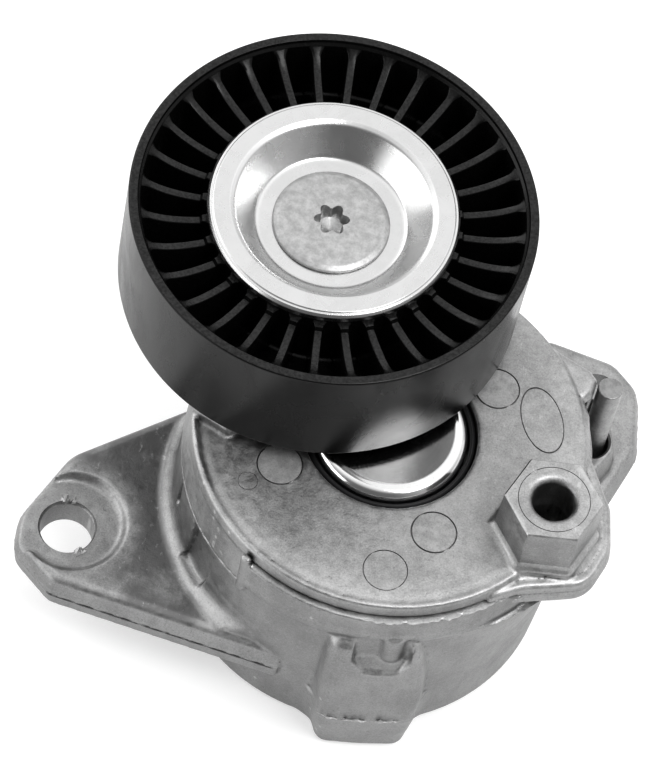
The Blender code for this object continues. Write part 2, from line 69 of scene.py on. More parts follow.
# Places and sizes taken from the frame
PULLEY_LOW, PULLEY_HIGH = node_box("pulley")
PULLEY_AXIS = ((PULLEY_LOW.x + PULLEY_HIGH.x) / 2, (PULLEY_LOW.y + PULLEY_HIGH.y) / 2)
PULLEY_RADIUS = (PULLEY_HIGH.x - PULLEY_LOW.x) / 2
PULLEY_FRONT = PULLEY_HIGH.z
PULLEY_REAR = PULLEY_LOW.z
CUP_TOP = node_box("base_housing")[1].z
PIN_LOW, PIN_HIGH = node_box("lock_pin")
PIN_AXIS = ((PIN_LOW.x + PIN_HIGH.x) / 2, (PIN_LOW.y + PIN_HIGH.y) / 2)
PIN_RADIUS = (PIN_HIGH.x - PIN_LOW.x) / 2
PIVOT_AXIS = (0.0, 0.0)

# Cast pieces, as in the part
CUP_BORE = 33.8
CUP_FLOOR = 5.0
BAND_RADIUS = 38.8
BAND_BOTTOM = 39.9
WINDOW_FLOOR = 38.3
WINDOW_ANGLES = (68.0, 236.6)
EAR_REAR = 12.8
EAR_PARTING = 16.8
EAR_FRONT = 21.3
LEFT_HOLE = (-55.2, -19.1)
LEFT_HOLE_RADIUS = 5.2
SPOT_FACE = (-54.6, -18.4)
SPOT_FLOOR = 19.7
RIGHT_HOLE = (38.4, 35.9)
RIGHT_HOLE_RADIUS = 4.4
PIN_HOLE = (38.3, 20.8)
PIN_HOLE_RADIUS = 3.7
PIN_BOSS_TOP = 28.8
SPRING_BOSS_ANGLE = -78.5
SPRING_TURNS = 4.55
SPRING_LAST_COIL = 39.5
TANG_ANGLE = SPRING_BOSS_ANGLE + 14.0 + SPRING_TURNS * 360.0 + 13.5
TANG_MARGIN = 6.5
TANG_HALF_ROOM = 3.6
ARM_SWING = 36.0
ARM_RADIUS = 37.2
ARM_FACE = 50.95
ARM_UNDERSIDE = 47.7
ARM_HOLE_RADIUS = 16.5
SKIRT_ANGLES = (140.0, 236.2)
SKIRT_BOTTOM = 38.75
PLATFORM_TOP = 53.3
POST_TOP = 57.0
RING_MARKS = (
    ((27.3, 9.5), 7.1, 3.9, 113.5),
    ((4.8, -29.2), 4.15, 4.15, 0.0),
    ((-23.5, -17.7), 1.85, 1.85, 0.0),
)
HEX_CENTRE = (31.8, -13.1)
HEX_ACROSS_FLATS = 16.0
HEX_TURN = 8.0
HEX_TOP = 62.5
HEX_BORE_RADIUS = 3.9
PADS = ((-18.5, -12.7), (12.0, -19.2), (17.8, 13.9))
PAD_RADIUS = 4.2
RIB_COUNT = 32


# Shape helpers, in millimetres


def polar(radius, degrees, centre=PIVOT_AXIS):
    """A point at a radius and an angle round a vertical axis."""
    angle = math.radians(degrees)
    return (centre[0] + radius * math.cos(angle), centre[1] + radius * math.sin(angle))


def arc(radius, start, end, centre=PIVOT_AXIS, step=3.0):
    """Points along an arc, about one for each step of degrees."""
    count = max(1, round(abs(end - start) / step))
    return [polar(radius, start + (end - start) * i / count, centre) for i in range(count + 1)]


def softened(corners, closed=False, steps=5):
    """A path through (x, y, radius) corners, each rounded by an arc of that radius."""
    path = []
    for index, (x, y, radius) in enumerate(corners):
        ends = not closed and index in (0, len(corners) - 1)
        if ends or not radius:
            path.append((x, y))
            continue
        here = Vector((x, y))
        before = (Vector(corners[index - 1][:2]) - here).normalized()
        after = (Vector(corners[(index + 1) % len(corners)][:2]) - here).normalized()
        half = before.angle(after) / 2
        centre = here + (before + after).normalized() * (radius / math.sin(half))
        first = here + before * (radius / math.tan(half)) - centre
        last = here + after * (radius / math.tan(half)) - centre
        turn = first.angle_signed(last)
        for step in range(steps + 1):
            point = centre + Matrix.Rotation(-turn * step / steps, 2) @ first
            path.append((point.x, point.y))
    return path


def offset(outline, distance):
    """A closed anticlockwise outline moved outwards by distance at each point."""
    moved = []
    for index, point in enumerate(outline):
        here = Vector(point)
        before = (here - Vector(outline[index - 1])).normalized()
        after = (Vector(outline[(index + 1) % len(outline)]) - here).normalized()
        tangent = (before + after).normalized()
        shorten = max(tangent.dot(before), 0.35)
        moved.append((here.x + tangent.y * distance / shorten, here.y - tangent.x * distance / shorten))
    return moved


def anticlockwise(outline):
    """The outline in anticlockwise order."""
    area = sum(a[0] * b[1] - b[0] * a[1] for a, b in zip(outline, outline[1:] + outline[:1]))
    return outline if area > 0 else outline[::-1]


def new_object(name, bm):
    """Puts a bmesh into the scene as an object, with its normals outwards."""
    bmesh.ops.recalc_face_normals(bm, faces=bm.faces)
    mesh = bpy.data.meshes.new(name)
    bm.to_mesh(mesh)
    bm.free()
    obj = bpy.data.objects.new(name, mesh)
    SCENE.collection.objects.link(obj)
    return obj


def lathe(name, path, axis=PIVOT_AXIS, segments=144, closed=True, wobble=None):
    """A (radius, height) path turned about a vertical axis. An open path ends on the axis."""
    bm = bmesh.new()
    rings = []
    for radius, height in path:
        if radius < 1e-6:
            rings.append([bm.verts.new((axis[0], axis[1], height))])
            continue
        ring = []
        for step in range(segments):
            angle = 360.0 * step / segments
            more = wobble(angle, radius, height) if wobble else (0.0, 0.0)
            x, y = polar(radius + more[0], angle, axis)
            ring.append(bm.verts.new((x, y, height + more[1])))
        rings.append(ring)
    pairs = list(zip(rings, rings[1:]))
    if closed:
        pairs.append((rings[-1], rings[0]))
    for one, two in pairs:
        for step in range(segments):
            after = (step + 1) % segments
            corners = [
                one[step % len(one)],
                one[after % len(one)],
                two[after % len(two)],
                two[step % len(two)],
            ]
            unique = list(dict.fromkeys(corners))
            if len(unique) > 2:
                bm.faces.new(unique)
    return new_object(name, bm)


def loft(name, loops):
    """A closed solid through equal loops of points, with a cap at each end."""
    bm = bmesh.new()
    rows = [[bm.verts.new(point) for point in loop] for loop in loops]
    count = len(rows[0])
    for one, two in zip(rows, rows[1:]):
        for step in range(count):
            after = (step + 1) % count
            bm.faces.new((one[step], one[after], two[after], two[step]))
    caps = [bm.faces.new(rows[0]), bm.faces.new(rows[-1])]
    bmesh.ops.triangulate(bm, faces=caps)
    return new_object(name, bm)


def plate(name, outline, levels):
    """A flat outline through (height, outward offset) levels."""
    outline = anticlockwise(list(outline))
    return loft(name, [[(x, y, height) for x, y in offset(outline, grow)] for height, grow in levels])


def slab(name, outline, bottom, top):
    """An upright prism between two heights."""
    return plate(name, outline, [(bottom, 0.0), (top, 0.0)])


def block(name, centre, size, turn=0.0, round_edges=0.0):
    """A box about a centre, turned about the vertical, with rounded edges if asked."""
    bm = bmesh.new()
    bmesh.ops.create_cube(bm, size=1.0)
    bmesh.ops.scale(bm, vec=size, verts=bm.verts)
    if round_edges:
        bmesh.ops.bevel(bm, geom=bm.edges[:], offset=round_edges, segments=4, profile=0.5, affect="EDGES")
    bmesh.ops.rotate(bm, matrix=Matrix.Rotation(math.radians(turn), 3, "Z"), verts=bm.verts)
    bmesh.ops.translate(bm, vec=centre, verts=bm.verts)
    return new_object(name, bm)


def settle(obj):
    """Applies an object's modifiers."""
    bpy.context.view_layer.update()
    graph = bpy.context.evaluated_depsgraph_get()
    mesh = bpy.data.meshes.new_from_object(obj.evaluated_get(graph))
    obj.modifiers.clear()
    old = obj.data
    obj.data = mesh
    bpy.data.meshes.remove(old)
    return obj


def combine(target, operation, tools, keep=False):
    """Applies a Boolean with each tool in turn."""
    for tool in tools:
        modifier = target.modifiers.new("combine", "BOOLEAN")
        modifier.operation = operation
        modifier.solver = "MANIFOLD"
        modifier.object = tool
        settle(target)
    if not keep:
        for tool in tools:
            bpy.data.objects.remove(tool)
    return target


def joined(target, tools):
    """The target with the tools added."""
    return combine(target, "UNION", tools)


def cut(target, tools):
    """The target with the tools taken away."""
    return combine(target, "DIFFERENCE", tools)


def cast_skin(obj, voxel, rounds):
    """Melts the joined solids into one skin, with the small fillets of a casting."""
    remesh = obj.modifiers.new("skin", "REMESH")
    remesh.mode = "VOXEL"
    remesh.voxel_size = voxel if FINE else voxel * 1.6
    soften = obj.modifiers.new("soften", "SMOOTH")
    soften.factor = 0.5
    soften.iterations = rounds if FINE else max(1, rounds // 3)
    return settle(obj)


def flat_faces(obj):
    """Lets the large flat faces keep their own direction beside small rounded ones."""
    weigh = obj.modifiers.new("flat_faces", "WEIGHTED_NORMAL")
    weigh.mode = "FACE_AREA"
    weigh.weight = 90
    weigh.keep_sharp = True


def bead(name, path, wide, high, seed, rough=0.35):
    """A ragged ridge of flash along a path, thicker and thinner by a fixed pattern."""
    bm = bmesh.new()
    rings = []
    for index, point in enumerate(path):
        here = Vector(point)
        ahead = Vector(path[min(index + 1, len(path) - 1)]) - Vector(path[max(index - 1, 0)])
        side = ahead.cross(Vector((0.0, 0.0, 1.0))).normalized()
        up = side.cross(ahead).normalized()
        swing = (
            math.sin(index * 2.3 + seed)
            + math.sin(index * 0.71 + 2.1 * seed)
            + math.sin(index * 5.1 + seed)
        )
        grow = 1.0 + rough * swing / 1.6
        taper = min(1.0, 0.25 + 0.35 * min(index, len(path) - 1 - index))
        ring = []
        for corner in range(6):
            angle = math.tau * corner / 6 + 0.4
            lump = 1.0 + 0.25 * rough * math.sin(index * 3.7 + corner * 2.9 + seed)
            move = side * (wide * grow * math.cos(angle)) + up * (high * grow * math.sin(angle))
            ring.append(bm.verts.new(here + move * (taper * lump)))
        rings.append(ring)
    for one, two in zip(rings, rings[1:]):
        for corner in range(6):
            after = (corner + 1) % 6
            bm.faces.new((one[corner], one[after], two[after], two[corner]))
    bm.faces.new(rings[0])
    bm.faces.new(rings[-1])
    return new_object(name, bm)


def finish_piece(obj, body, skin, nodes=(), sharp=35.0, flats=True):
    """Scales a shape to metres, gives it its skin and shading, and puts it on its body."""
    obj.data.transform(Matrix.Scale(MM, 4))
    obj.data.materials.clear()
    obj.data.materials.append(skin)
    obj.data.shade_smooth()
    obj.data.set_sharp_from_angle(angle=math.radians(sharp))
    if flats:
        flat_faces(obj)
    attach(obj, body)
    if nodes:
        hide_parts(*nodes)
    return obj


# Materials


class Shader:
    """A Principled material with short calls for the nodes behind it."""

    def __init__(self, name, metallic=0.0, roughness=0.5, colour=(0.5, 0.5, 0.5)):
        self.material = bpy.data.materials.new(name)
        self.material.use_nodes = True
        self.tree = self.material.node_tree
        self.principled = self.tree.nodes["Principled BSDF"]
        self.set("Metallic", metallic)
        self.set("Roughness", roughness)
        self.set("Base Color", (*colour, 1.0))
        self.place = self.node("ShaderNodeTexCoord").outputs["Object"]

    def node(self, kind, **values):
        made = self.tree.nodes.new(kind)
        for key, value in values.items():
            setattr(made, key, value)
        return made

    def wire(self, source, target):
        if hasattr(source, "links"):
            self.tree.links.new(source, target)
        elif hasattr(target.default_value, "__len__") and not hasattr(source, "__len__"):
            target.default_value = [source] * len(target.default_value)
        else:
            target.default_value = source

    def set(self, socket, value):
        self.wire(value, self.principled.inputs[socket])

    def stretched(self, scale):
        mapping = self.node("ShaderNodeMapping")
        self.wire(self.place, mapping.inputs["Vector"])
        mapping.inputs["Scale"].default_value = scale
        return mapping.outputs["Vector"]

    def noise(self, size_mm, detail=3.0, rough=0.5, twist=0.0, vector=None):
        """Noise whose features are about size_mm across."""
        made = self.node("ShaderNodeTexNoise")
        self.wire(vector or self.place, made.inputs["Vector"])
        made.inputs["Scale"].default_value = 1.0 / (size_mm * MM)
        made.inputs["Detail"].default_value = detail
        made.inputs["Roughness"].default_value = rough
        made.inputs["Distortion"].default_value = twist
        return made.outputs["Fac"]

    def span(self, value, low, high, to_low=0.0, to_high=1.0):
        made = self.node("ShaderNodeMapRange")
        made.interpolation_type = "SMOOTHSTEP"
        for name, number in zip(
            ("Value", "From Min", "From Max", "To Min", "To Max"),
            (value, low, high, to_low, to_high),
        ):
            self.wire(number, made.inputs[name])
        return made.outputs["Result"]

    def calculate(self, operation, one, two=0.0):
        made = self.node("ShaderNodeMath", operation=operation)
        self.wire(one, made.inputs[0])
        self.wire(two, made.inputs[1])
        return made.outputs[0]

    def plus(self, one, two):
        return self.calculate("ADD", one, two)

    def times(self, one, two):
        return self.calculate("MULTIPLY", one, two)

    def mix(self, share, one, two):
        made = self.node("ShaderNodeMix", data_type="RGBA")
        colour_a, colour_b = [s for s in made.inputs if s.type == "RGBA"]
        self.wire(share, made.inputs["Factor"])
        self.wire(one if hasattr(one, "links") else (*one, 1.0), colour_a)
        self.wire(two if hasattr(two, "links") else (*two, 1.0), colour_b)
        return [s for s in made.outputs if s.type == "RGBA"][0]

    def split(self, vector=None):
        made = self.node("ShaderNodeSeparateXYZ")
        self.wire(vector or self.place, made.inputs[0])
        return made.outputs

    def away_from(self, centre_mm):
        """Distance in the XY plane from a point, in metres."""
        x, y, _ = self.split()
        dx = self.calculate("SUBTRACT", x, centre_mm[0] * MM)
        dy = self.calculate("SUBTRACT", y, centre_mm[1] * MM)
        return self.calculate("SQRT", self.plus(self.times(dx, dx), self.times(dy, dy)))

    def bump(self, height, depth_mm):
        made = self.node("ShaderNodeBump")
        made.inputs["Strength"].default_value = 1.0
        made.inputs["Distance"].default_value = depth_mm * MM
        self.wire(height, made.inputs["Height"])
        self.set("Normal", made.outputs["Normal"])

    def edges(self, low=0.5, high=0.6):
        """One along convex edges and zero elsewhere."""
        geometry = self.node("ShaderNodeNewGeometry")
        return self.span(geometry.outputs["Pointiness"], low, high)


def cast_aluminium(name, tone, painted_shade=None):
    """Die-cast aluminium: satin grey with soft flow marks, fine grain, specks and lighter worn edges, with
    painted shade on its side walls and in its creases.
    """
    made = Shader(name, metallic=1.0)
    patches = made.noise(16.0, 4.0, 0.6, 0.2)
    mottle = made.noise(2.2, 6.0, 0.72, 0.15)
    grain = made.noise(0.34, 4.0, 0.7)
    flow = made.noise(3.4, 5.0, 0.65, 0.3, made.stretched((1.0, 1.0, 0.3)))
    shade = made.plus(made.times(patches, 0.30), made.times(mottle, 0.25))
    shade = made.plus(shade, made.times(flow, 0.15))
    shade = made.plus(shade, made.times(grain, 0.30))
    shade = made.span(shade, 0.37, 0.63)
    colour = made.mix(shade, [tone * 0.70] * 3, [min(tone * 1.24, 1.0)] * 3)
    # Where a mask is given, it paints shade: darker towards tone * 0.45.
    if painted_shade:
        colour = made.mix(painted_shade(made), colour, [tone * 0.45] * 3)
    speck = made.span(made.noise(0.8, 5.0, 0.75), 0.58, 0.68, 0.0, 0.6)
    colour = made.mix(speck, colour, [tone * 0.50] * 3)
    fleck = made.span(made.noise(1.1, 5.0, 0.75, 0.0, made.stretched((1.0, 0.6, 1.0))), 0.60, 0.70, 0.0, 0.5)
    colour = made.mix(fleck, colour, [min(tone * 1.45, 0.95)] * 3)
    # Painted shade: faces turned sideways or down are darkened towards near black, standing in for the shade
    # they get.
    upright = made.split(made.node("ShaderNodeNewGeometry").outputs["Normal"])[2]
    colour = made.mix(made.span(upright, 0.05, 0.75, 0.32, 0.0), colour, [0.02] * 3)
    # Painted shade: concave creases are darkened, standing in for the shade that gathers in them.
    painted_crease_shade = made.times(made.edges(0.487, 0.455), made.span(mottle, 0.35, 0.6, 0.5, 0.95))
    colour = made.mix(painted_crease_shade, colour, [tone * 0.22] * 3)
    worn = made.times(made.edges(0.545, 0.620), made.span(mottle, 0.35, 0.6, 0.15, 0.60))
    colour = made.mix(worn, colour, [min(tone * 1.45, 0.95)] * 3)
    made.set("Base Color", colour)
    made.set("Roughness", made.span(mottle, 0.3, 0.7, 0.36, 0.54))
    height = made.plus(made.times(grain, 0.75), made.times(mottle, 1.0))
    height = made.plus(height, made.times(flow, 0.9))
    made.bump(height, 0.05)
    return made.material


def left_ear_painted_shade(made):
    """Painted shade: the left ear's top darkened between its spot face and the cup."""
    x, _, z = made.split()
    near_top = made.span(z, 0.0200, 0.0212)
    under = made.span(z, 0.0213, 0.0222, 1.0, 0.0)
    left = made.span(x, -0.030, -0.024, 1.0, 0.0)
    away = made.span(made.away_from(SPOT_FACE), 0.0108, 0.0150)
    ragged = made.span(made.noise(9.0, 4.0, 0.6, 0.1), 0.25, 0.55)
    mask = made.times(near_top, under)
    mask = made.times(mask, made.times(left, away))
    return made.times(mask, made.times(ragged, 0.9))


def black_plastic():
    """Moulded plastic: near black and satin, with dust on the upward faces near the front."""
    made = Shader("pulley_plastic", colour=(0.012, 0.012, 0.013))
    fibre = made.noise(0.35, 4.0, 0.65)
    smear = made.noise(9.0, 4.0, 0.6, 1.0, made.stretched((1.0, 1.0, 0.5)))
    colour = made.mix(made.span(fibre, 0.45, 0.75), (0.003, 0.003, 0.003), (0.010, 0.010, 0.010))
    upright = made.span(made.split(made.node("ShaderNodeNewGeometry").outputs["Normal"])[2], 0.7, 0.95)
    upright = made.times(upright, made.span(made.split()[2], 0.0660, 0.0690))
    dust = made.times(upright, made.span(made.noise(0.5, 5.0, 0.7), 0.35, 0.65, 0.2, 1.0))
    colour = made.mix(dust, colour, (0.034, 0.034, 0.034))
    made.set("Base Color", colour)
    made.set("Roughness", made.span(smear, 0.3, 0.7, 0.20, 0.30))
    made.set("Specular IOR Level", 0.26)
    made.bump(made.plus(fibre, made.times(smear, 0.8)), 0.012)
    return made.material


def bright_metal(name, tone, rough, lines_axis=None, grain=0.02):
    """Plated sheet metal: smooth, with faint turned lines and tiny specks."""
    made = Shader(name, metallic=1.0)
    cloud = made.noise(6.0, 4.0, 0.6, 0.5)
    speck = made.span(made.noise(0.45, 3.0, 0.6), 0.62, 0.75)
    colour = made.mix(made.span(cloud, 0.3, 0.7), [tone * 0.97] * 3, [min(tone * 1.03, 1.0)] * 3)
    colour = made.mix(made.times(speck, 0.35), colour, [tone * 0.6] * 3)
    made.set("Base Color", colour)
    made.set("Roughness", made.span(cloud, 0.3, 0.7, rough * 0.92, rough * 1.1))
    height = made.times(made.noise(0.5, 3.0, 0.6), 0.6)
    if lines_axis:
        rings = made.noise(0.16, 2.0, 0.5)
        around = made.away_from(lines_axis)
        wave = made.node("ShaderNodeTexNoise", noise_dimensions="1D")
        made.wire(around, wave.inputs["W"])
        wave.inputs["Scale"].default_value = 1.0 / (0.12 * MM)
        wave.inputs["Detail"].default_value = 2.0
        height = made.plus(
            made.plus(height, wave.outputs["Fac"]),
            made.times(rings, 0.2),
        )
    made.bump(height, grain)
    return made.material


def dull_steel(name, tone, rough, grain_mm=0.5, depth=0.03, wear=0.5):
    """Uncoated metal: cloudy and finely grained, lighter along its edges where wear is above zero."""
    made = Shader(name, metallic=1.0)
    cloud = made.noise(1.8, 6.0, 0.72, 0.1)
    grain = made.noise(grain_mm, 4.0, 0.65)
    colour = made.mix(made.span(cloud, 0.3, 0.7), [tone * 0.78] * 3, [min(tone * 1.12, 1.0)] * 3)
    colour = made.mix(made.span(grain, 0.55, 0.75, 0.0, 0.5), colour, [tone * 0.6] * 3)
    worn = made.times(made.edges(0.51, 0.56), wear)
    colour = made.mix(worn, colour, [min(tone * 1.4, 1.0)] * 3)
    made.set("Base Color", colour)
    made.set("Roughness", made.span(grain, 0.3, 0.7, rough * 0.85, rough * 1.2))
    made.bump(made.plus(grain, made.times(cloud, 0.8)), depth)
    return made.material


def soft_plastic(name, colour, rough):
    """A matt plastic or rubber with fine grain."""
    made = Shader(name)
    grain = made.noise(0.4, 4.0, 0.6)
    cloud = made.noise(4.0, 3.0, 0.5)
    made.set("Base Color", made.mix(cloud, [c * 0.8 for c in colour], [min(c * 1.15, 1.0) for c in colour]))
    made.set("Roughness", made.span(grain, 0.3, 0.7, rough * 0.85, min(rough * 1.2, 1.0)))
    made.bump(grain, 0.015)
    return made.material


# The base's skin carries painted shade on the left ear's top.
BASE_SKIN = cast_aluminium("base_cast_aluminium", 0.395, left_ear_painted_shade)
ARM_SKIN = cast_aluminium("arm_cast_aluminium", 0.45)
PLASTIC = black_plastic()
ZINC = bright_metal("zinc_plate", 0.67, 0.27, PULLEY_AXIS, 0.006)
CHROME = bright_metal("bright_plate", 0.78, 0.12, PIVOT_AXIS, 0.005)
BOLT_STEEL = dull_steel("bolt_steel", 0.49, 0.45, 0.3, 0.03, 0.0)
PIN_STEEL = dull_steel("pin_steel", 0.34, 0.38, 0.4, 0.05, 0.2)
GROUND_STEEL = dull_steel("ground_steel", 0.62, 0.25, 0.3, 0.01)
BEARING_STEEL = bright_metal("bearing_steel", 0.66, 0.14)
SPRING_STEEL = dull_steel("spring_steel", 0.20, 0.40)
RUBBER = soft_plastic("seal_rubber", (0.012, 0.012, 0.013), 0.5)
POLYMER = soft_plastic("bushing_polymer", (0.11, 0.10, 0.09), 0.5)
NYLON = soft_plastic("natural_nylon", (0.70, 0.66, 0.56), 0.5)
PAD_SKIN = dull_steel("ejector_pad_aluminium", 0.50, 0.62, 0.3, 0.02, 0.0)
FLASH_SKIN = dull_steel("flash_aluminium", 0.46, 0.60, 0.35, 0.06)
SEAM_SKIN = dull_steel("seam_aluminium", 0.16, 0.60, 0.35, 0.06)


# Spring cup


LEFT_EAR = softened(
    [
        (-20.0, 27.6, 0), (-58.6, -3.8, 9.0), (-64.9, -18.6, 9.0), (-64.2, -25.8, 5.0),
        (-55.6, -32.6, 4.0), (-10.0, -37.0, 0), (-6.0, 0.0, 0),
    ],
    closed=True,
)
RIGHT_EAR = softened(
    [
        (6.0, 0.0, 0), (34.0, -9.0, 0), (44.2, 12.0, 6.0), (48.9, 26.0, 6.0), (47.0, 39.4, 6.0),
        (41.0, 44.6, 6.0), (27.0, 46.6, 5.0), (6.0, 36.0, 0),
    ],
    closed=True,
)
PIN_BOSS = softened(
    [(30.0, 11.0, 0), (39.6, 12.2, 4.0), (43.9, 20.6, 5.0), (40.9, 27.0, 4.0), (28.0, 28.0, 0)],
    closed=True,
)


def along_boss(sideways, outwards, height):
    """A point on the spring boss from its middle line: sideways, out from the pivot, and up."""
    out = Vector((math.cos(math.radians(SPRING_BOSS_ANGLE)), math.sin(math.radians(SPRING_BOSS_ANGLE)), 0.0))
    side = Vector((-out.y, out.x, 0.0))
    point = out * outwards + side * sideways
    return (point.x, point.y, height)


def boss_section(height, left, right, reach, foot):
    """One level of the spring boss: rounded front corners, and hollow fillets where it leaves the cup."""
    corners = [
        (-left - foot - 1.4, 30.0, 0), (-left - foot, 33.8, 0.3), (-left - 0.2, reach - 4.6, 2.8),
        (-left + 0.9, reach - 0.3, 2.6), (0.0, reach, 30.0), (right - 0.9, reach - 0.3, 2.6),
        (right + 0.2, reach - 4.6, 2.8), (right + foot, 33.8, 0.3), (right + foot + 1.4, 30.0, 0),
    ]
    return [along_boss(u, v, height) for u, v in softened(corners, closed=True)]


def flared(angle, radius, height):
    """The cup's wall widens under the arm's lobe."""
    if radius < 37.0 or height < 26.5 or height > 40.0:
        return (0.0, 0.0)
    turn = abs((angle + 24.0 + 180.0) % 360.0 - 180.0)
    share = max(0.0, 1.0 - turn / 40.0)
    return (1.9 * share * share * (3 - 2 * share) * (height - 26.5) / 10.0, 0.0)


def base_housing():
    """The cast cup with its ears, bosses, window, pockets and holes."""
    cup = lathe(
        "base_housing_cast",
        softened(
            [
                (38.2, CUP_TOP + 0.15, 0), (BAND_RADIUS - 0.1, CUP_TOP + 0.1, 0.1),
                (BAND_RADIUS - 0.1, 43.0, 0), (BAND_RADIUS + 0.25, 41.4, 1.0),
                (BAND_RADIUS, BAND_BOTTOM, 0.8), (38.0, BAND_BOTTOM - 0.9, 0.5), (37.95, 36.0, 0),
                (37.95, 31.0, 0), (37.9, 26.0, 3.0), (37.2, 16.0, 3.0), (36.4, 1.0, 0.6),
                (35.4, 0.0, 0.4), (30.0, 0.0, 0.3), (29.4, 1.6, 0.3), (16.6, 1.6, 0.3),
                (16.0, 0.0, 0.3), (11.4, 0.0, 0), (11.4, 2.9, 0), (8.3, 2.9, 0), (8.3, 14.0, 0),
                (12.0, 14.0, 0.4), (12.6, CUP_FLOOR, 1.0), (CUP_BORE, CUP_FLOOR, 1.0),
                (CUP_BORE, CUP_TOP, 0.3),
            ],
            closed=True,
        ),
        wobble=flared,
    )
    ear_levels = [
        (EAR_REAR, -0.9), (EAR_REAR + 0.5, -0.4), (EAR_PARTING - 0.1, -0.15), (EAR_PARTING, 0.0),
        (EAR_PARTING + 0.15, 0.0), (EAR_PARTING + 0.3, -0.2), (EAR_FRONT - 0.9, -1.0),
        (EAR_FRONT - 0.3, -1.7), (EAR_FRONT, -2.6),
    ]
    left = plate("left_ear", LEFT_EAR, ear_levels)
    right = plate("right_ear", RIGHT_EAR, ear_levels)
    boss = plate(
        "pin_boss",
        PIN_BOSS,
        [(EAR_REAR + 0.5, 0.6), (EAR_FRONT, 0.5), (PIN_BOSS_TOP - 0.6, -0.1), (PIN_BOSS_TOP, -0.6)],
    )
    foot = lathe(
        "ear_foot",
        [
            (35.0, EAR_FRONT - 1.0), (35.0, 27.0), (38.0, 27.0), (38.1, 25.2), (38.4, 24.0),
            (39.0, 23.0), (40.5, EAR_FRONT + 0.15), (40.9, EAR_FRONT - 1.0),
        ],
    )
    near_ears = joined(
        slab("near_left", offset(anticlockwise(LEFT_EAR), -2.2), EAR_FRONT - 2.0, 30.0),
        [slab("near_right", offset(anticlockwise(RIGHT_EAR), -1.2), EAR_FRONT - 2.0, 30.0)],
    )
    combine(foot, "INTERSECT", [near_ears])
    spring_boss = loft(
        "spring_boss",
        [
            boss_section(0.0, 8.4, 8.4, 40.3, 3.4),
            boss_section(0.9, 9.0, 9.0, 41.0, 3.6),
            boss_section(7.0, 9.5, 9.5, 41.6, 3.4),
            boss_section(13.4, 10.0, 10.0, 42.2, 2.8),
            boss_section(13.6, 9.8, 9.8, 41.9, 1.8),
            boss_section(20.0, 10.2, 10.1, 41.9, 0.7),
            boss_section(28.0, 10.4, 9.6, 41.6, 0.3),
            boss_section(35.0, 10.4, 8.4, 41.0, 0.2),
            boss_section(38.2, 10.0, 7.2, 40.2, 0.2),
            boss_section(39.4, 9.2, 6.4, 39.2, 0.2),
        ],
    )
    stop_rib = block("stop_rib", (*polar(38.32, -122.2), 43.4), (1.5, 2.0, 12.0), -122.2, 0.4)
    core = lathe("core", [(0.0, 80.0), (35.6, 80.0), (35.6, -5.0), (0.0, -5.0)], closed=False)
    outside = [left, right, boss, foot, spring_boss]
    for piece in outside:
        combine(piece, "DIFFERENCE", [core], keep=True)
    bpy.data.objects.remove(core)
    joined(cup, outside)

    window = slab(
        "window",
        arc(46.0, *WINDOW_ANGLES) + arc(30.0, WINDOW_ANGLES[1], WINDOW_ANGLES[0]),
        WINDOW_FLOOR,
        CUP_TOP + 20.0,
    )
    dish = loft(
        "boss_dish",
        [
            [
                along_boss(u, v, height)
                for u, v in ((left - 2.2, 46.0), (left, depth), (right, depth), (right + 2.2, 46.0))
            ]
            for height, left, right, depth in (
                (29.5, -0.8, 1.6, 43.2), (31.5, -3.0, 3.6, 40.6), (34.5, -4.8, 5.2, 38.8),
                (41.0, -5.2, 5.6, 38.2),
            )
        ],
    )
    pocket = loft(
        "side_pocket",
        [
            [(x, y, height) for x, y in arc(44.0, first, last, step=2.0) + arc(depth, last, first, step=2.0)]
            for height, first, last, depth in (
                (22.4, -147.6, -136.6, 37.85), (23.6, -147.6, -136.2, 37.3),
                (28.5, -147.0, -135.0, 36.6), (37.2, -146.2, -134.6, 36.3),
            )
        ],
    )
    groove = loft(
        "side_groove",
        [
            [
                (*polar(44.0, middle - wide), height),
                (*polar(44.0, middle + wide), height),
                (*polar(depth, middle + wide * 0.4), height),
                (*polar(depth, middle - wide * 0.4), height),
            ]
            for height, middle, wide, depth in (
                (26.2, -161.2, 1.6, 37.6), (27.5, -161.0, 2.0, 36.5), (31.0, -160.2, 1.9, 36.6),
                (37.5, -159.4, 1.0, 37.2), (38.6, -159.2, 0.5, 37.9),
            )
        ],
    )
    tang_slot = block("tang_slot", (*polar(35.0, SPRING_BOSS_ANGLE), 9.9), (8.0, 8.0, 9.0), SPRING_BOSS_ANGLE)
    cut(cup, [window, dish, pocket, groove, tang_slot])
    step = lathe(
        "boss_step",
        softened([(0.0, 41.5, 0), (2.6, 41.5, 0), (2.8, 33.6, 1.0), (0.0, 32.4, 0)]),
        along_boss(1.9, 37.1, 0.0)[:2],
        48,
        closed=False,
    )
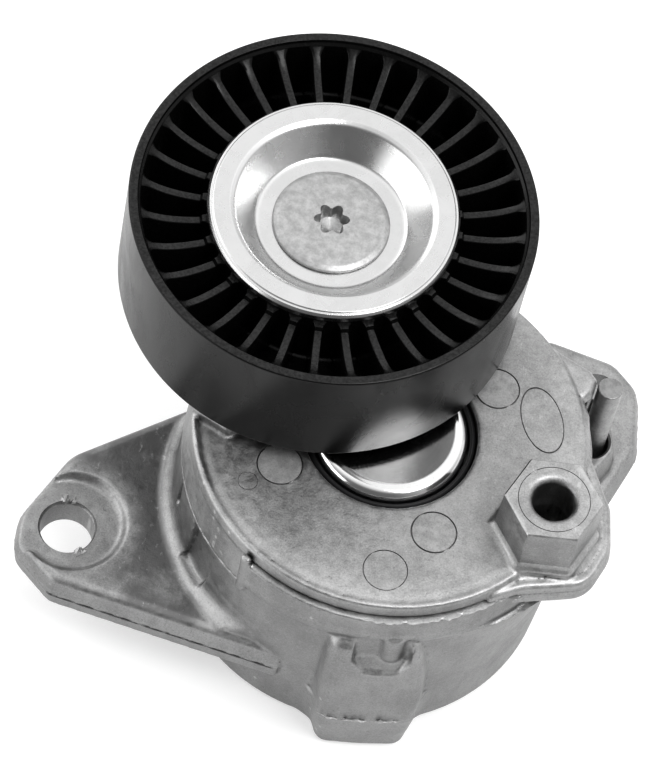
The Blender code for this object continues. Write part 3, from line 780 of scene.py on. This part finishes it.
    # A guessed land beside the pin, behind the arm's lug; the CAD cup doesn't have it
    land = block("pin_land", (36.0, 27.2, 30.0), (3.6, 3.8, 12.0), 8.0, 0.5)
    joined(cup, [stop_rib, step, land])
    spot = lathe(
        "spot_face",
        [
            (0.0, 30.0), (11.4, 30.0), (11.2, EAR_FRONT + 0.3), (10.8, EAR_FRONT - 0.05),
            (10.5, EAR_FRONT - 0.2), (9.7, SPOT_FLOOR + 0.3), (9.2, SPOT_FLOOR), (0.0, SPOT_FLOOR),
        ],
        SPOT_FACE,
        128,
        closed=False,
    )
    end = slab(
        "ear_end",
        [polar(9.3, 118.0, SPOT_FACE), (-75.0, -8.0), (-75.0, -30.0), polar(9.3, 236.0, SPOT_FACE)],
        SPOT_FLOOR,
        30.0,
    )
    cut(cup, [spot, end])
    cast_skin(cup, 0.36, 5)
    left_hole = lathe(
        "left_hole",
        [
            (0.0, 30.0), (LEFT_HOLE_RADIUS + 0.5, 30.0), (LEFT_HOLE_RADIUS + 0.45, SPOT_FLOOR + 0.1),
            (LEFT_HOLE_RADIUS + 0.2, SPOT_FLOOR - 0.5), (LEFT_HOLE_RADIUS, SPOT_FLOOR - 0.7),
            (LEFT_HOLE_RADIUS, 5.0), (0.0, 5.0),
        ],
        LEFT_HOLE,
        96,
        closed=False,
    )
    right_hole = lathe(
        "right_hole",
        [(0.0, 40.0), (RIGHT_HOLE_RADIUS, 40.0), (RIGHT_HOLE_RADIUS, 5.0), (0.0, 5.0)],
        RIGHT_HOLE,
        64,
        closed=False,
    )
    pin_hole = lathe(
        "pin_hole",
        [
            (0.0, 40.0), (PIN_HOLE_RADIUS + 0.6, 40.0), (PIN_HOLE_RADIUS + 0.6, PIN_BOSS_TOP + 0.1),
            (PIN_HOLE_RADIUS, PIN_BOSS_TOP - 0.5), (PIN_HOLE_RADIUS, 5.0), (0.0, 5.0),
        ],
        PIN_HOLE,
        64,
        closed=False,
    )
    cut(cup, [left_hole, right_hole, pin_hole])
    return finish_piece(cup, "base", BASE_SKIN, ["base_housing"], sharp=42.0, flats=False)


def flash():
    """Trimmed flash left along the band, the parting lines and the bolt hole's edge."""
    band = [(*polar(38.15 + 0.12 * math.sin(a * 1.9), a), CUP_TOP - 0.02) for a in range(-87, -39, 1)]
    finish_piece(bead("band_flash", band, 0.60, 0.16, 1.0, 0.30), "base", FLASH_SKIN)
    sweep = [
        (-9.4, 41.0), (-7.4, 41.9), (-4.5, 42.25), (-1.5, 42.35), (1.5, 42.35), (4.5, 42.25),
        (7.2, 41.9),
    ]
    line = []
    for (u, v), (u2, v2) in zip(sweep, sweep[1:]):
        line += [
            along_boss(
                u + (u2 - u) * t / 5,
                v + (v2 - v) * t / 5 - 0.05,
                13.5 + 0.12 * math.sin(7 * u + 2 * t),
            )
            for t in range(5)
        ]
    finish_piece(bead("boss_flash", line, 0.16, 0.10, 2.0, 0.9), "base", FLASH_SKIN)
    front = [p for p in anticlockwise(LEFT_EAR) if p[1] < -32.0]
    front.sort(key=lambda p: p[0])
    line = []
    for one, two in zip(front, front[1:]):
        count = max(1, int((Vector(two) - Vector(one)).length / 0.8))
        line += [
            (
                one[0] + (two[0] - one[0]) * t / count,
                one[1] + (two[1] - one[1]) * t / count,
                EAR_PARTING - 0.02,
            )
            for t in range(count)
        ]
    finish_piece(bead("ear_flash", line, 0.09, 0.13, 3.0, 0.5), "base", SEAM_SKIN)
    for number, (centre, spread) in enumerate(((102.0, 17.0), (-52.0, 13.0))):
        path = [
            (*polar(LEFT_HOLE_RADIUS + 0.65 + 0.25 * math.sin(0.9 * a), a, LEFT_HOLE), SPOT_FLOOR)
            for a in [centre + spread * (t / 6.0 - 1.0) for t in range(13)]
        ]
        finish_piece(
            bead("hole_flash_%d" % (number + 1), path, 0.60, 0.45, 4.0 + number, 0.8),
            "base",
            FLASH_SKIN,
        )


# Swing arm


def hexagon(across_flats, round_corner):
    """The spanner hexagon's outline with rounded corners."""
    radius = across_flats / 2 / math.cos(math.pi / 6)
    return softened(
        [(*polar(radius, HEX_TURN + 60.0 * side, HEX_CENTRE), round_corner) for side in range(6)],
        closed=True,
        steps=4,
    )


def rim_lift(angle, radius, height):
    """The arm's rim: a raised lip beside the pulley's platform, and a scribed line along the front."""
    if height < 49.0 or radius < 35.0:
        return (0.0, 0.0)
    turn = (angle + 180.0) % 360.0 - 180.0
    if turn > 0:
        turn -= 360.0
    lip = max(0.0, 1.0 - abs(turn + 172.0) / 42.0)
    tail = 0.18 if -170.0 < turn < -48.0 else 0.0
    rise = max(1.15 * lip * lip * (3 - 2 * lip), tail)
    if radius < 35.9:
        return (0.0, 0.0)
    if radius < 36.25:
        broken = 0.5 + 0.5 * math.sin(turn * 1.7) * math.sin(turn * 0.45 + 1.0)
        return (0.0, -0.30 * broken if -128.0 < turn < -48.0 else rise * 0.4)
    return (0.0, rise)


def tensioner_arm():
    """The cast arm, and the upper part of its hexagon as a piece of its own."""
    arm = lathe(
        "tensioner_arm_cast",
        softened(
            [
                (ARM_HOLE_RADIUS, ARM_FACE, 0.3), (32.0, ARM_FACE - 0.03, 0),
                (34.4, ARM_FACE - 0.15, 0), (35.6, ARM_FACE - 0.35, 0), (35.85, ARM_FACE - 0.38, 0),
                (36.1, ARM_FACE - 0.42, 0), (36.3, ARM_FACE - 0.40, 0), (36.6, ARM_FACE - 0.38, 0),
                (ARM_RADIUS, 50.2, 0.6), (ARM_RADIUS + 0.1, 49.2, 0.3),
                (ARM_RADIUS + 0.3, ARM_UNDERSIDE + 0.2, 0), (ARM_RADIUS, ARM_UNDERSIDE - 0.05, 0),
                (20.4, ARM_UNDERSIDE, 0), (20.4, 44.0, 0), (19.4, 42.9, 0), (12.2, 42.2, 0),
                (12.2, 15.6, 0), (9.9, 15.6, 0), (9.9, 44.9, 0), (ARM_HOLE_RADIUS, 44.9, 0),
            ],
            closed=True,
        ),
        segments=180,
        wobble=rim_lift,
    )
    skirt = loft(
        "skirt",
        [
            [
                (x, y, height)
                for x, y in arc(outer, *SKIRT_ANGLES) + arc(34.3, SKIRT_ANGLES[1], SKIRT_ANGLES[0])
            ]
            for height, outer in (
                (SKIRT_BOTTOM - 0.15, ARM_RADIUS + 0.85),
                (41.0, ARM_RADIUS + 0.7),
                (49.6, ARM_RADIUS - 0.1),
            )
        ],
    )
    lobe_outline = softened(
        [
            (30.0, 6.0, 0), (37.6, 6.0, 2.0), (43.5, -4.6, 4.0), (45.1, -13.5, 7.0), (42.2, -21.8, 6.0),
            (36.6, -23.8, 6.0), (30.5, -25.8, 8.0), (24.5, -29.6, 0), (20.0, -16.0, 0),
        ],
        closed=True,
    )
    lobe = plate(
        "lobe",
        lobe_outline,
        [
            (43.4, -1.0), (44.0, -0.3), (45.0, 0.0), (46.3, 0.1), (46.5, -0.35), (47.4, -0.4),
            (47.6, -0.1), (48.9, -0.3), (49.5, -0.9), (49.6, -1.5), (49.5, -2.2), (50.1, -3.0),
        ],
    )
    lug = plate(
        "lug",
        softened(
            [
                (26.0, 27.4, 0), (29.6, 25.8, 0), (34.6, 23.9, 1.0), (36.2, 22.3, 0.8),
                (35.9, 18.6, 0.8), (34.6, 16.8, 0), (26.0, 16.0, 0),
            ],
            closed=True,
        ),
        [(40.3, -0.7), (41.0, -0.2), (48.2, 0.0), (49.4, -0.7), (49.7, -1.4)],
    )
    shoulder = plate(
        "shoulder",
        softened(
            [
                (28.0, 19.0, 0), (34.3, 17.4, 0.6), (36.0, 14.2, 1.0), (37.1, 9.0, 4.0),
                (37.7, 4.0, 0), (28.0, 4.0, 0),
            ],
            closed=True,
        ),
        [(44.6, -0.4), (45.2, 0.0), (48.6, 0.0), (49.6, -0.7)],
    )
    band_room = lathe("band_room", [(0.0, 47.7), (39.4, 47.7), (39.4, 30.0), (0.0, 30.0)], closed=False)
    for piece in (lobe, lug, shoulder):
        combine(piece, "DIFFERENCE", [band_room], keep=True)
    bpy.data.objects.remove(band_room)
    platform_outline = (
        [(-36.6, -6.6), (-29.2, -9.6), (-22.0, -4.0)]
        + arc(18.0, 200.0, 78.0, step=6.0)
        + [(6.5, 33.0), (-2.0, 36.8)]
        + arc(13.4, 40.0, 190.0, PULLEY_AXIS, 6.0)
        + arc(36.6, 152.0, 184.0)
    )
    platform = plate(
        "platform",
        platform_outline,
        [(48.2, 0.0), (PLATFORM_TOP - 0.5, 0.0), (PLATFORM_TOP, -0.5)],
    )
    post = lathe(
        "post",
        softened(
            [(0.0, POST_TOP, 0), (10.0, POST_TOP, 0.5), (10.6, 52.0, 0), (10.6, 44.8, 0), (0.0, 44.8, 0)],
        ),
        PULLEY_AXIS,
        72,
        closed=False,
    )
    foot = plate(
        "hex_foot",
        hexagon(HEX_ACROSS_FLATS, 0.8),
        [(48.2, 1.3), (50.9, 1.2), (51.3, 0.7), (52.2, 0.25), (53.0, -0.1), (53.4, -0.6)],
    )
    ridge = loft(
        "hex_ridge",
        [
            [
                (x + dx, y + dy, z + dz)
                for dx, dy, dz in (
                    (-0.55, -0.43, -1.2), (0.9, 0.7, -1.2), (0.9, 0.7, 0.5), (0.1, 0.1, 0.45),
                    (-0.35, -0.27, 0.0),
                )
            ]
            for x, y, z in ((21.9, -14.2, 51.3), (24.9, -18.1, 51.2), (27.9, -21.9, 50.9))
        ],
    )
    joined(arm, [skirt, lobe, lug, shoulder, platform, post, foot, ridge])
    # Room inside the skirt for the rigid coil's upper end over the arm's whole swing
    near = TANG_ANGLE - TANG_MARGIN
    far = TANG_ANGLE + ARM_SWING + TANG_MARGIN
    tang_sweep = slab(
        "tang_sweep",
        arc(35.2, near, far) + arc(31.0, far, near),
        SPRING_LAST_COIL - TANG_HALF_ROOM,
        SPRING_LAST_COIL + TANG_HALF_ROOM,
    )
    cut(arm, [tang_sweep])
    cast_skin(arm, 0.33, 5)
    bolt_bore = lathe(
        "bolt_bore",
        [(0.0, 70.0), (5.1, 70.0), (5.1, 40.0), (0.0, 40.0)],
        PULLEY_AXIS,
        64,
        closed=False,
    )
    hex_bore = lathe(
        "hex_bore",
        [(0.0, 70.0), (6.0, 70.0), (6.0, HEX_TOP + 0.2), (5.6, HEX_TOP)]
        + [
            (
                HEX_BORE_RADIUS + 1.5 - 1.5 * math.sin(math.radians(a)),
                HEX_TOP - 1.5 + 1.5 * math.cos(math.radians(a)),
            )
            for a in range(8, 91, 8)
        ]
        + [(HEX_BORE_RADIUS, 46.6), (0.0, 45.6)],
        HEX_CENTRE,
        96,
        closed=False,
    )
    hex_line = lathe(
        "hex_line",
        [(6.78, HEX_TOP + 0.3), (6.74, HEX_TOP - 0.10), (6.60, HEX_TOP - 0.10), (6.56, HEX_TOP + 0.3)],
        HEX_CENTRE,
        96,
    )
    pad_lines = [
        lathe(
            "pad_line",
            [
                (PAD_RADIUS + 0.3, ARM_FACE + 0.4), (PAD_RADIUS + 0.08, ARM_FACE - 0.25),
                (PAD_RADIUS - 0.1, ARM_FACE - 0.25), (PAD_RADIUS - 0.15, ARM_FACE + 0.4),
            ],
            centre,
            72,
        )
        for centre in PADS
    ]
    marks = []
    for centre, across, along, turn in RING_MARKS:
        ring = lathe("ring_mark", [(0.94, 0.4), (0.975, -0.22), (1.0, -0.22), (1.035, 0.4)], segments=96)
        ring.data.transform(Matrix.Diagonal((across, along, 1.0, 1.0)))
        ring.data.transform(Matrix.Rotation(math.radians(turn), 4, "Z"))
        ring.data.transform(Matrix.Translation((*centre, ARM_FACE)))
        marks.append(ring)
    boss = plate(
        "hex_boss",
        hexagon(HEX_ACROSS_FLATS, 0.25),
        [(49.2, 0.3), (52.0, 0.22), (HEX_TOP - 0.25, 0.0), (HEX_TOP, -0.25)],
    )
    combine(boss, "DIFFERENCE", [hex_bore], keep=True)
    cut(boss, [hex_line])
    finish_piece(boss, "arm", ARM_SKIN, sharp=25.0)
    cut(arm, [bolt_bore, hex_bore] + pad_lines + marks)
    return finish_piece(
        arm, "arm", ARM_SKIN, ["tensioner_arm"], sharp=40.0, flats=False,
    )


def ejector_pads():
    """Round ejector pad faces on the arm's disc."""
    for index, centre in enumerate(PADS):
        pad = lathe(
            "ejector_pad_%d" % (index + 1),
            softened(
                [
                    (0.0, ARM_FACE + 0.06, 0), (PAD_RADIUS - 0.15, ARM_FACE + 0.06, 0.05),
                    (PAD_RADIUS - 0.12, ARM_FACE - 0.2, 0), (0.0, ARM_FACE - 0.2, 0),
                ],
            ),
            centre,
            72,
            closed=False,
        )
        finish_piece(pad, "arm", PAD_SKIN)


# Pulley, its cover and its bolt


def rib_front(radius):
    """Height of a rib's front edge: high at the rim, dished in between, with a step by the hub."""
    share = max(0.0, radius - 22.0) / 13.6
    height = 76.3 + 3.2 * share ** 3.2
    if radius < 24.6:
        height += 0.7
    return height


def pulley():
    """Rim, web and hub in one turned body, with ribs on both sides of the web."""
    inner = 35.7
    body = lathe(
        "pulley_moulding",
        softened(
            [
                (PULLEY_RADIUS, PULLEY_FRONT, 0.45), (PULLEY_RADIUS, PULLEY_REAR, 0.6),
                (inner, PULLEY_REAR, 0.4), (inner, 62.0, 1.2), (22.6, 62.0, 1.2), (22.6, 58.6, 0.4),
                (18.8, 58.6, 0.4), (18.8, 60.3, 0), (20.3, 60.3, 0), (20.3, 72.9, 0), (18.8, 72.9, 0),
                (18.8, 74.6, 0.3), (20.2, 77.6, 0.4), (22.8, 77.6, 0.4), (22.8, 64.4, 1.2),
                (inner, 64.4, 1.2), (inner, 79.6, 0.3), (36.2, 80.1, 0.2), (36.3, PULLEY_FRONT, 0.15),
            ],
            closed=True,
            steps=4,
        ),
        PULLEY_AXIS,
        256,
    )
    stations = [21.8, 23.0, 23.4, 24.2, 24.6, 24.8] + [25.5 + 0.9 * i for i in range(9)] + [
        33.4, 33.9, 34.3, 34.7, 35.0, 35.3, 35.6, 35.8, 36.1,
    ]
    ribs = []
    for rib in range(RIB_COUNT):
        turn = Matrix.Rotation(math.tau * (rib + 0.5) / RIB_COUNT, 3, "Z")
        for front_side in (True, False):
            loops = []
            for radius in stations:
                flare = max(0.0, radius - 34.0) / 1.8
                flare = 1.5 * (1.0 - math.sqrt(max(0.0, 1.0 - min(flare, 1.0) ** 2)))
                toe = max(0.0, 24.0 - radius) / 1.2
                toe = 0.7 * min(toe, 1.0) ** 2
                half = 0.74 + flare + toe
                if front_side:
                    top = rib_front(radius)
                    bottom = 63.4
                    crown = 0.20
                else:
                    top = 56.6 if radius > 24.0 else 59.4
                    bottom = 63.0
                    crown = -0.20
                loop = []
                for side, drop in (
                    (-1.0, 1.0), (-0.85, 0.35), (-0.45, 0.0), (0.45, 0.0), (0.85, 0.35), (1.0, 1.0),
                ):
                    loop.append(turn @ Vector((radius, side * half, top - drop * crown)))
                root = 1.12 * half
                loop.append(turn @ Vector((radius, root, bottom)))
                loop.append(turn @ Vector((radius, -root, bottom)))
                loops.append([(p.x + PULLEY_AXIS[0], p.y + PULLEY_AXIS[1], p.z) for p in loop])
            ribs.append(loft("rib", loops))
    bm = bmesh.new()
    for rib in ribs:
        bm.from_mesh(rib.data)
        bpy.data.objects.remove(rib)
    joined(body, [new_object("ribs", bm)])
    return finish_piece(body, "pulley", PLASTIC, ["pulley"], sharp=32.0)


def front_dust_cover():
    """The dished cover round the bolt."""
    cover = lathe(
        "front_dust_cover_pressing",
        softened(
            [
                (5.4, 74.3, 0), (13.3, 74.3, 0.5), (14.0, 74.4, 1.4), (18.4, 79.5, 2.0),
                (19.3, 80.0, 0.7), (22.35, 80.05, 0.3), (22.65, 79.78, 0.15), (22.95, 79.85, 0.2),
                (23.45, 79.2, 0.5), (23.4, 78.2, 0), (22.6, 78.2, 0), (22.5, 79.2, 0), (19.6, 79.2, 0),
                (15.2, 73.4, 0), (15.0, 72.9, 0), (5.4, 72.9, 0),
            ],
            closed=True,
            steps=8,
        ),
        PULLEY_AXIS,
        256,
    )
    return finish_piece(cover, "arm", ZINC, ["front_dust_cover"], sharp=60.0)


def pulley_bolt():
    """The flat-headed bolt with its six-lobed recess."""
    bolt = lathe(
        "pulley_bolt_turned",
        softened(
            [
                (0.0, 75.70, 0), (3.9, 75.71, 0), (4.6, 75.70, 0), (6.0, 75.69, 0), (8.2, 75.64, 2.0),
                (9.9, 75.45, 1.2), (10.9, 74.95, 0.4), (11.0, 74.50, 0.1), (10.6, 74.40, 0),
                (4.9, 74.40, 0), (4.9, 45.0, 0.4), (0.0, 45.0, 0),
            ],
            steps=6,
        ),
        PULLEY_AXIS,
        160,
        closed=False,
    )
    lobes = []
    for step in range(144):
        angle = 2.5 * step
        wave = math.cos(math.radians(6 * angle))
        lobes.append(polar(2.80 + 0.52 * wave - 0.06 * wave * wave, angle + 12.0, PULLEY_AXIS))
    recess = plate("drive_recess", lobes, [(73.00, -0.08), (75.45, 0.0), (75.80, 0.16), (78.00, 0.16)])
    cone = lathe(
        "drive_cone",
        [(0.0, 73.60), (2.2, 73.60), (2.2, 73.00), (0.35, 71.90), (0.0, 71.90)],
        PULLEY_AXIS,
        48,
        closed=False,
    )
    cut(bolt, [recess, cone])
    return finish_piece(bolt, "arm", BOLT_STEEL, ["pulley_bolt"], sharp=35.0)


def rear_dust_shield():
    """The thin shield behind the pulley's hub."""
    shield = lathe(
        "rear_dust_shield_pressing",
        softened(
            [
                (18.0, 58.0, 0.3), (22.0, 57.4, 0.2), (22.0, 56.8, 0.2), (18.0, 57.3, 0.3),
                (5.4, 57.3, 0), (5.4, 58.0, 0),
            ],
            closed=True,
        ),
        PULLEY_AXIS,
        160,
    )
    return finish_piece(shield, "arm", ZINC, ["rear_dust_shield"])


# Pivot cap, seal and lock pin


def pivot_cap():
    """The bright cap on the pivot."""
    shoulder = [
        (12.45 + 2.35 * math.sin(math.radians(a)), 49.1 + 2.55 * math.cos(math.radians(a)))
        for a in range(12, 91, 6)
    ]
    cap = lathe(
        "pivot_cap_pressing",
        [
            (0.0, 51.72), (6.0, 51.73), (11.8, 51.74), (12.35, 51.72), (12.6, 51.62),
        ] + shoulder + [(14.8, 48.5), (14.0, 48.5), (14.0, 49.3), (12.2, 51.0), (0.0, 51.0)],
        PIVOT_AXIS,
        256,
        closed=False,
    )
    return finish_piece(cap, "base", CHROME, ["pivot_cap"], sharp=60.0)


def seal_ring():
    """The rubber ring round the cap."""
    ring = lathe(
        "seal_ring_moulding",
        softened(
            [(15.6, 50.2, 0.25), (16.2, 49.6, 0.3), (16.2, 45.3, 0), (15.3, 45.3, 0), (15.1, 49.8, 0.2)],
            closed=True,
        ),
        PIVOT_AXIS,
        200,
    )
    return finish_piece(ring, "arm", RUBBER, ["seal_ring"])


def lock_pin():
    """The plain pin that locks the arm."""
    low = PIN_LOW.z
    high = PIN_HIGH.z
    pin = lathe(
        "lock_pin_drawn",
        softened([(0.0, high, 0), (PIN_RADIUS, high, 0.3), (PIN_RADIUS, low, 0.4), (0.0, low, 0)]),
        PIN_AXIS,
        72,
        closed=False,
    )
    return finish_piece(pin, "pin", PIN_STEEL, ["lock_pin"])


base_housing()
flash()
tensioner_arm()
ejector_pads()
pulley()
front_dust_cover()
pulley_bolt()
rear_dust_shield()
pivot_cap()
seal_ring()
lock_pin()

INNER_SKINS = {
    "pivot_shaft": GROUND_STEEL,
    "front_thrust_plate": GROUND_STEEL,
    "rear_thrust_washer": NYLON,
    "spring_seat": NYLON,
    "torsion_spring": SPRING_STEEL,
    "pivot_bushing": POLYMER,
    "front_thrust_washer": NYLON,
    "damping_shoe": POLYMER,
    "pulley_spacer": GROUND_STEEL,
    "bearing_inner_ring": BEARING_STEEL,
    "bearing_outer_ring": BEARING_STEEL,
    "bearing_seal_front": RUBBER,
    "bearing_seal_rear": RUBBER,
    "ball_cage": POLYMER,
}
for number in range(8):
    INNER_SKINS["ball_%d" % (number + 1)] = BEARING_STEEL
for node, skin in INNER_SKINS.items():
    for place in frame["nodes"][node].material_slots:
        place.material = skin


# Floor, light and camera


def floor():
    """A plain pale floor."""
    bm = bmesh.new()
    bmesh.ops.create_grid(bm, x_segments=8, y_segments=8, size=3.0)
    obj = new_object("floor", bm)
    obj.location.z = -0.0004
    made = Shader("floor_paint", colour=(0.9, 0.9, 0.9), roughness=0.7)
    made.set("Base Color", made.mix(made.noise(400.0, 2.0), (0.62, 0.62, 0.62), (0.65, 0.65, 0.65)))
    made.set("Emission Color", (1.0, 1.0, 1.0, 1.0))
    made.set("Emission Strength", 0.42)
    obj.data.materials.append(made.material)


def soft_box(name, direction, distance, size, radiance):
    """A rectangular softbox that far out in a direction, facing the object, with an even radiance."""
    light = bpy.data.lights.new(name, "AREA")
    light.shape = "RECTANGLE"
    light.size, light.size_y = size
    light.energy = radiance * math.pi * size[0] * size[1]
    obj = bpy.data.objects.new(name, light)
    SCENE.collection.objects.link(obj)
    away = Vector(direction).normalized()
    obj.location = away * distance + Vector((0.0, 0.0, 0.04))
    obj.rotation_euler = away.to_track_quat("Z", "Y").to_euler()


def world():
    """A grey studio: pale above and behind, grey at the sides, a small bright patch back left, dim below."""
    made = bpy.data.worlds.new("studio")
    SCENE.world = made
    made.use_nodes = True
    nodes = made.node_tree.nodes
    links = made.node_tree.links
    way = nodes.new("ShaderNodeTexCoord").outputs["Generated"]
    total = None
    for direction, low, high, strength in (
        ((0.0, 0.42, 0.91), 0.25, 0.85, 0.82), ((0.95, 0.10, 0.30), 0.30, 0.95, 0.30),
        ((-0.95, 0.20, 0.25), 0.30, 0.95, 0.30), ((-0.75, 0.50, 0.43), 0.92, 0.99, 1.10),
    ):
        dot = nodes.new("ShaderNodeVectorMath")
        dot.operation = "DOT_PRODUCT"
        links.new(way, dot.inputs[0])
        dot.inputs[1].default_value = Vector(direction).normalized()
        ramp = nodes.new("ShaderNodeMapRange")
        ramp.interpolation_type = "SMOOTHSTEP"
        links.new(dot.outputs["Value"], ramp.inputs["Value"])
        for socket, value in (("From Min", low), ("From Max", high), ("To Min", 0.0), ("To Max", strength)):
            ramp.inputs[socket].default_value = value
        plus = nodes.new("ShaderNodeMath")
        plus.operation = "ADD"
        links.new(ramp.outputs["Result"], plus.inputs[0])
        if total is None:
            plus.inputs[1].default_value = 0.17
        else:
            links.new(total, plus.inputs[1])
        total = plus.outputs[0]
    background = nodes["Background"]
    background.inputs["Color"].default_value = (1.0, 1.0, 1.0, 1.0)
    links.new(total, background.inputs["Strength"])


def camera():
    """A long-lens camera above the front, rolled a little."""
    made = bpy.data.cameras.new("camera")
    made.sensor_width = 36.0
    made.lens = 210.9
    made.clip_start = 0.01
    obj = bpy.data.objects.new("camera", made)
    SCENE.collection.objects.link(obj)
    right = Vector((0.97286, 0.19937, 0.11748)).normalized()
    back = Vector((0.0, -0.50769, 0.86154)).normalized()
    up = back.cross(right).normalized()
    right = up.cross(back)
    turn = Matrix((right, up, back)).transposed().to_4x4()
    obj.matrix_world = Matrix.Translation((-0.012376, -0.42015, 0.77519)) @ turn
    SCENE.camera = obj


floor()
world()
soft_box("key", (0.42, -0.25, 0.87), 0.85, (0.36, 0.36), 5.8)
soft_box("left", (-0.91, -0.31, 0.26), 0.90, (1.15, 0.42), 1.65)
soft_box("right", (0.93, 0.33, 0.10), 0.90, (0.50, 0.35), 0.35)
camera()
SCENE.view_settings.view_transform = "Standard"
SCENE.view_settings.exposure = 0.25
SCENE.view_settings.gamma = 0.85
